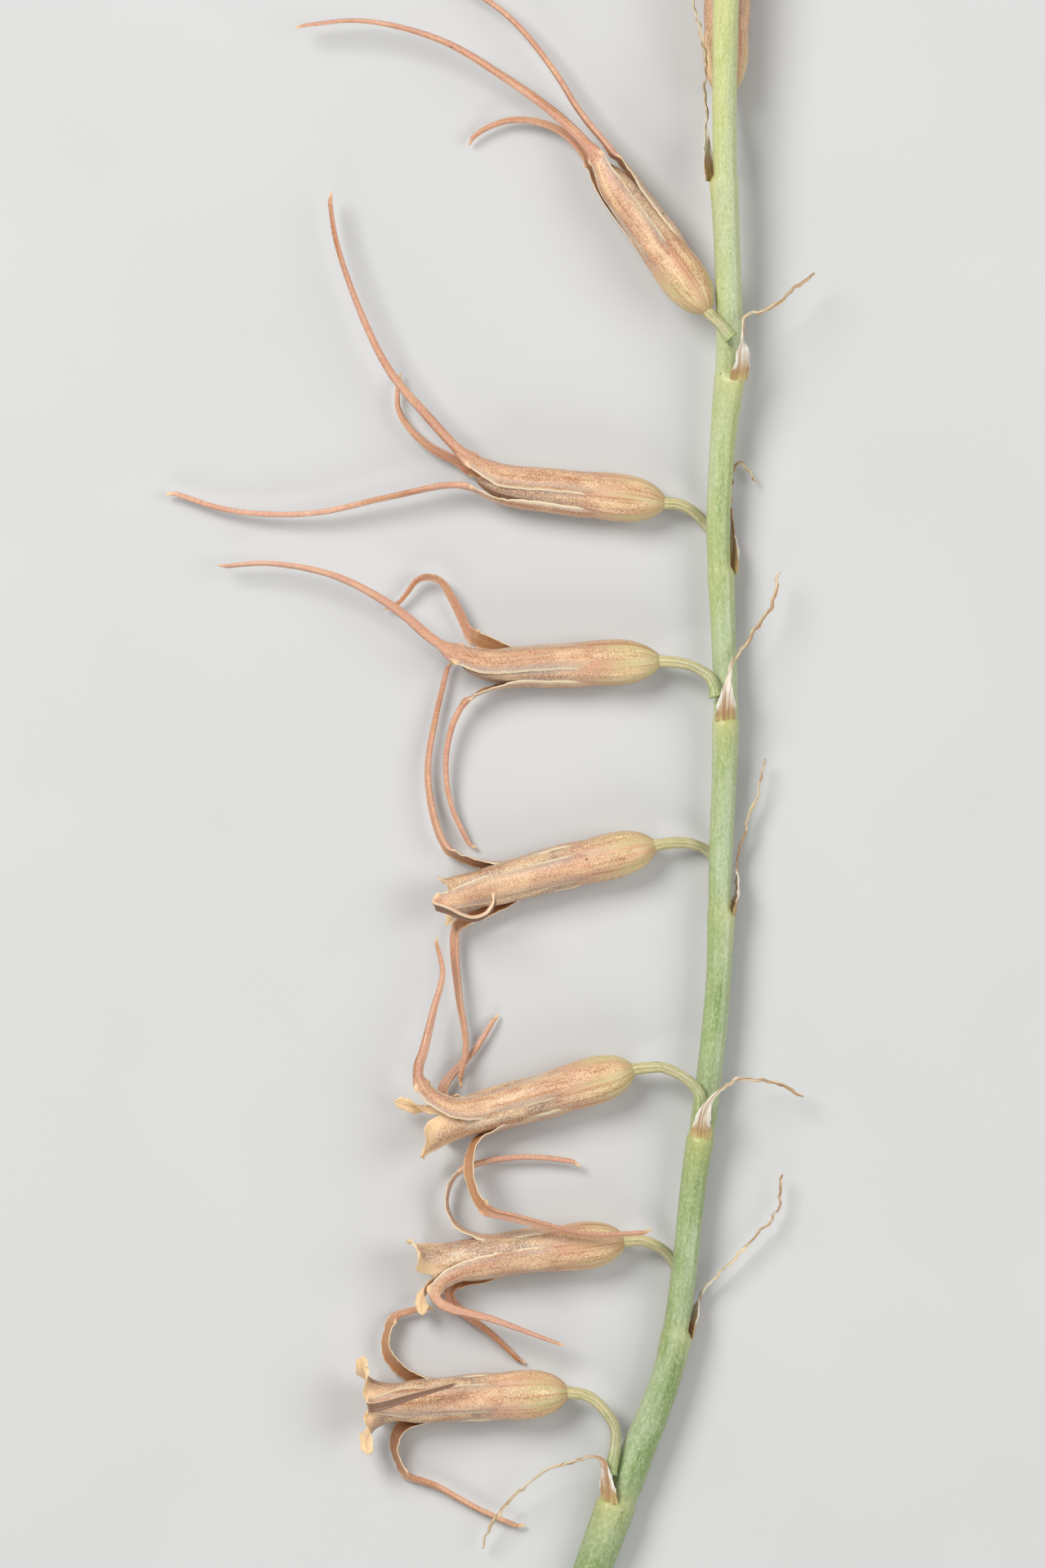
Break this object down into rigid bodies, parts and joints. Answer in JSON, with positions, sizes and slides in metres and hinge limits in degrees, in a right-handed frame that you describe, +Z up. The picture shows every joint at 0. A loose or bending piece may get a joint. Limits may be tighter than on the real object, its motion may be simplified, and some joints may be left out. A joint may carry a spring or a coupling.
{
  "type": "dipcadi flower spike",
  "caption": "Cut flower spike lying on its side: slender stem with nodding tubular flowers on pedicels, their outer tepals drawn out into long tails, papery bracts and young buds at the tip.",
  "frame": {"origin": "middle of the spike's outline, on the surface that it lies on", "axes": "+Y up the spike towards its tip, +X away from the side that the flowers hang to, +Z up from the surface"},
  "size_m": [0.0482, 0.1356, 0.0064],
  "materials": {
    "stem": "satin, waxy bloom",
    "pedicel": "satin",
    "perianth_tube": "satin, glistening cells",
    "outer_tepal": "satin, ribbed",
    "bract": "dry, papery",
    "bud": "satin"
  },
  "bodies": {
    "root": {"stem": "stem", "pedicel_1": "pedicel", "perianth_tube_1": "perianth_tube", "outer_tepal_1_front": "outer_tepal", "outer_tepal_1_upper": "outer_tepal", "outer_tepal_1_lower": "outer_tepal", "bract_1": "bract", "pedicel_2": "pedicel", "perianth_tube_2": "perianth_tube", "outer_tepal_2_front": "outer_tepal", "outer_tepal_2_upper": "outer_tepal", "outer_tepal_2_back": "outer_tepal", "bract_2": "bract", "pedicel_3": "pedicel", "perianth_tube_3": "perianth_tube", "outer_tepal_3_front": "outer_tepal", "outer_tepal_3_back": "outer_tepal", "outer_tepal_3_lower": "outer_tepal", "bract_3": "bract", "pedicel_4": "pedicel", "perianth_tube_4": "perianth_tube", "outer_tepal_4_front": "outer_tepal", "outer_tepal_4_upper": "outer_tepal", "outer_tepal_4_lower": "outer_tepal", "bract_4": "bract", "pedicel_5": "pedicel", "perianth_tube_5": "perianth_tube", "outer_tepal_5_front": "outer_tepal", "outer_tepal_5_back": "outer_tepal", "outer_tepal_5_lower": "outer_tepal", "bract_5": "bract", "pedicel_6": "pedicel", "perianth_tube_6": "perianth_tube", "outer_tepal_6_front": "outer_tepal", "outer_tepal_6_back": "outer_tepal", "outer_tepal_6_lower": "outer_tepal", "bract_6": "bract", "pedicel_7": "pedicel", "perianth_tube_7": "perianth_tube", "outer_tepal_7_front": "outer_tepal", "outer_tepal_7_right": "outer_tepal", "outer_tepal_7_left": "outer_tepal", "bract_7": "bract", "pedicel_8": "pedicel", "perianth_tube_8": "perianth_tube", "outer_tepal_8_left": "outer_tepal", "outer_tepal_8_right": "outer_tepal", "outer_tepal_8_back": "outer_tepal", "bract_8": "bract", "pedicel_9": "pedicel", "bud_9": "bud", "bract_9": "bract", "pedicel_10": "pedicel", "bud_10": "bud", "bract_10": "bract", "pedicel_11": "pedicel", "bud_11": "bud", "bract_11": "bract"}
  },
  "joints": []
}
